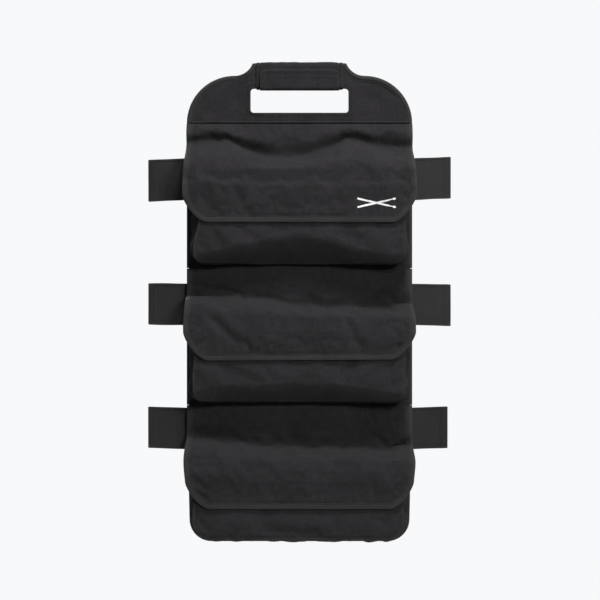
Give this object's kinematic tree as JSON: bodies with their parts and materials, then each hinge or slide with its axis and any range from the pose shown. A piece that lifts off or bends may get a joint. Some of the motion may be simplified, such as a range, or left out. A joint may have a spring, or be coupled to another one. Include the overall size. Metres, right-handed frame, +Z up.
{
  "type": "drum stick bag",
  "caption": "Hanging stick bag: a folding padded panel with a hand slot and wrapped grip, gusseted pockets under rounded flaps, and hook-and-loop side straps.",
  "frame": {"origin": "on the underside of the padded grip, above the middle of the hand slot, half way through the panel's thickness", "axes": "+X to the bag's right as seen from the front, +Y out of its back, +Z up towards the top of the grip; the pockets face -Y"},
  "size_m": [0.554, 0.071, 0.876],
  "materials": {
    "panel_fabric": "matte",
    "gusset_fabric": "matte",
    "lining": "matte",
    "binding": "matte",
    "sleeve": "matte",
    "strap_web": "matte",
    "hook_tape": "matte",
    "loop_tape": "matte",
    "foam": "matte",
    "board": "matte",
    "print": "matte"
  },
  "bodies": {
    "upper": {"upper_front_fabric": "panel_fabric", "upper_back_lining": "lining", "upper_foam_pad": "foam", "upper_edge_binding": "binding", "upper_strap_loops": "loop_tape", "upper_pocket_front": "panel_fabric", "upper_pocket_gusset": "gusset_fabric", "upper_pocket_loop_tape": "loop_tape", "handle_board": "board", "handle_padding": "foam", "handle_sleeve": "sleeve", "handle_loop_tape": "loop_tape"},
    "middle": {"middle_front_fabric": "panel_fabric", "middle_back_lining": "lining", "middle_foam_pad": "foam", "middle_edge_binding": "binding", "middle_strap_loops": "loop_tape", "middle_pocket_front": "panel_fabric", "middle_pocket_gusset": "gusset_fabric", "middle_pocket_loop_tape": "loop_tape"},
    "lower": {"lower_front_fabric": "panel_fabric", "lower_back_lining": "lining", "lower_foam_pad": "foam", "lower_edge_binding": "binding", "lower_strap_loops": "loop_tape", "lower_pocket_front": "panel_fabric", "lower_pocket_gusset": "gusset_fabric", "lower_pocket_loop_tape": "loop_tape"},
    "upper_flap_root": {"upper_flap_top": "panel_fabric", "upper_flap_top_binding": "binding"},
    "upper_flap_face": {"upper_flap_front": "panel_fabric", "upper_flap_front_binding": "binding", "upper_flap_hook_tape": "hook_tape", "flap_print": "print"},
    "middle_flap_root": {"middle_flap_top": "panel_fabric", "middle_flap_top_binding": "binding"},
    "middle_flap_face": {"middle_flap_front": "panel_fabric", "middle_flap_front_binding": "binding", "middle_flap_hook_tape": "hook_tape"},
    "lower_flap_root": {"lower_flap_top": "panel_fabric", "lower_flap_top_binding": "binding"},
    "lower_flap_face": {"lower_flap_front": "panel_fabric", "lower_flap_front_binding": "binding", "lower_flap_hook_tape": "hook_tape"},
    "upper_left_strap": {"upper_left_strap": "strap_web", "upper_left_strap_hook": "hook_tape"},
    "upper_right_strap": {"upper_right_strap": "strap_web", "upper_right_strap_hook": "hook_tape"},
    "middle_left_strap": {"middle_left_strap": "strap_web", "middle_left_strap_hook": "hook_tape"},
    "middle_right_strap": {"middle_right_strap": "strap_web", "middle_right_strap_hook": "hook_tape"},
    "lower_left_strap": {"lower_left_strap": "strap_web", "lower_left_strap_hook": "hook_tape"},
    "lower_right_strap": {"lower_right_strap": "strap_web", "lower_right_strap_hook": "hook_tape"},
    "handle_wrap": {"handle_wrap": "sleeve", "handle_wrap_hook_tape": "hook_tape"}
  },
  "joints": [
    {"name": "fold_upper", "type": "hinge", "parent": "upper", "child": "middle", "pos_m": [0, 0.005, -0.326], "axis": [1, 0, 0], "range_deg": [0, 90]},
    {"name": "fold_lower", "type": "hinge", "parent": "middle", "child": "lower", "pos_m": [0, 0.005, -0.576], "axis": [1, 0, 0], "range_deg": [0, 90]},
    {"name": "upper_flap_lift", "type": "hinge", "parent": "upper", "child": "upper_flap_root", "pos_m": [0, -0.0061, -0.062], "axis": [-1, 0, 0], "range_deg": [0, 90]},
    {"name": "upper_flap_bend", "type": "hinge", "parent": "upper_flap_root", "child": "upper_flap_face", "pos_m": [0, -0.0613, -0.146], "axis": [-1, 0, 0], "range_deg": [0, 90]},
    {"name": "middle_flap_lift", "type": "hinge", "parent": "middle", "child": "middle_flap_root", "pos_m": [0, -0.0061, -0.326], "axis": [-1, 0, 0], "range_deg": [0, 90]},
    {"name": "middle_flap_bend", "type": "hinge", "parent": "middle_flap_root", "child": "middle_flap_face", "pos_m": [0, -0.0613, -0.41], "axis": [-1, 0, 0], "range_deg": [0, 90]},
    {"name": "lower_flap_lift", "type": "hinge", "parent": "lower", "child": "lower_flap_root", "pos_m": [0, -0.0061, -0.576], "axis": [-1, 0, 0], "range_deg": [0, 90]},
    {"name": "lower_flap_bend", "type": "hinge", "parent": "lower_flap_root", "child": "lower_flap_face", "pos_m": [0, -0.0613, -0.66], "axis": [-1, 0, 0], "range_deg": [0, 90]},
    {"name": "upper_left_strap_turn", "type": "hinge", "parent": "upper", "child": "upper_left_strap", "pos_m": [-0.2065, 0.0045, -0.163], "axis": [0, 0, -1], "range_deg": [-20, 165]},
    {"name": "upper_right_strap_turn", "type": "hinge", "parent": "upper", "child": "upper_right_strap", "pos_m": [0.2065, 0.0045, -0.163], "axis": [0, 0, 1], "range_deg": [-20, 165]},
    {"name": "middle_left_strap_turn", "type": "hinge", "parent": "middle", "child": "middle_left_strap", "pos_m": [-0.2065, 0.0045, -0.392], "axis": [0, 0, -1], "range_deg": [-20, 165]},
    {"name": "middle_right_strap_turn", "type": "hinge", "parent": "middle", "child": "middle_right_strap", "pos_m": [0.2065, 0.0045, -0.392], "axis": [0, 0, 1], "range_deg": [-20, 165]},
    {"name": "lower_left_strap_turn", "type": "hinge", "parent": "lower", "child": "lower_left_strap", "pos_m": [-0.2065, 0.0045, -0.619], "axis": [0, 0, -1], "range_deg": [-20, 165]},
    {"name": "lower_right_strap_turn", "type": "hinge", "parent": "lower", "child": "lower_right_strap", "pos_m": [0.2065, 0.0045, -0.619], "axis": [0, 0, 1], "range_deg": [-20, 165]},
    {"name": "handle_wrap_open", "type": "hinge", "parent": "upper", "child": "handle_wrap", "pos_m": [0, -0.0096, 0.0004], "axis": [1, 0, 0], "range_deg": [0, 150]}
  ],
  "couplings": [
    {"joint": "upper_flap_bend", "follows": "upper_flap_lift", "ratio": 1},
    {"joint": "middle_flap_bend", "follows": "middle_flap_lift", "ratio": 1},
    {"joint": "lower_flap_bend", "follows": "lower_flap_lift", "ratio": 1}
  ]
}
